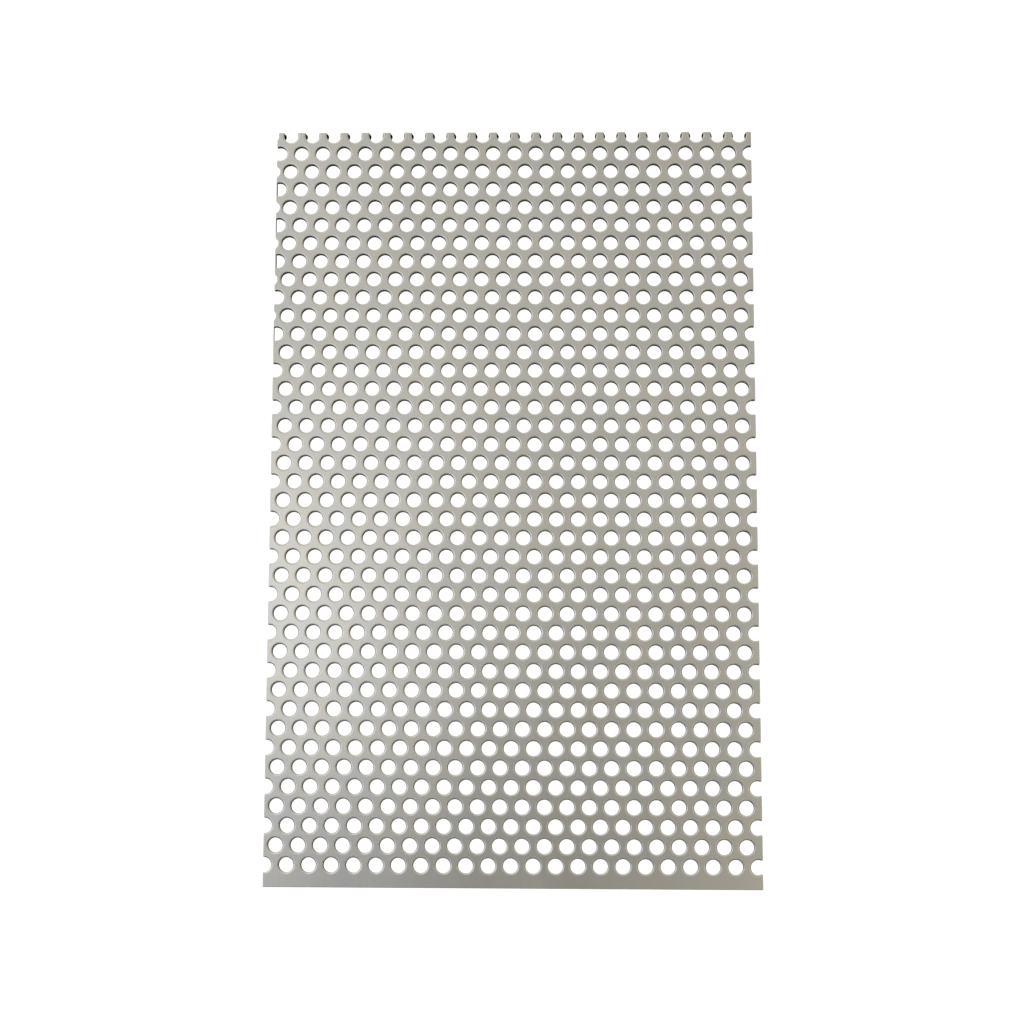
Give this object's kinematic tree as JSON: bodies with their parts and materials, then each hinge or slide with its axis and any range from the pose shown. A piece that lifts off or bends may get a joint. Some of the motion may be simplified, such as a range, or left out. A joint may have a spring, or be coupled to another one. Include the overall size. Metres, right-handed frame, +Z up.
{
  "type": "perforated metal sheet",
  "caption": "Flat rectangular steel sheet punched all over with small round holes in a staggered pattern; sheared edges, one end cut through a row of holes, the other with a plain margin.",
  "frame": {"origin": "middle of the sheet's underside, which lies on Z = 0", "axes": "+Z up out of the punched face; X across the sheet along the rows of holes; +Y along the sheet towards the end that is cut through a row of holes"},
  "size_m": [0.2012, 0.3144, 0.002],
  "materials": {
    "mill_finish_steel": "satin"
  },
  "bodies": {
    "root": {"perforated_sheet": "mill_finish_steel"}
  },
  "joints": []
}
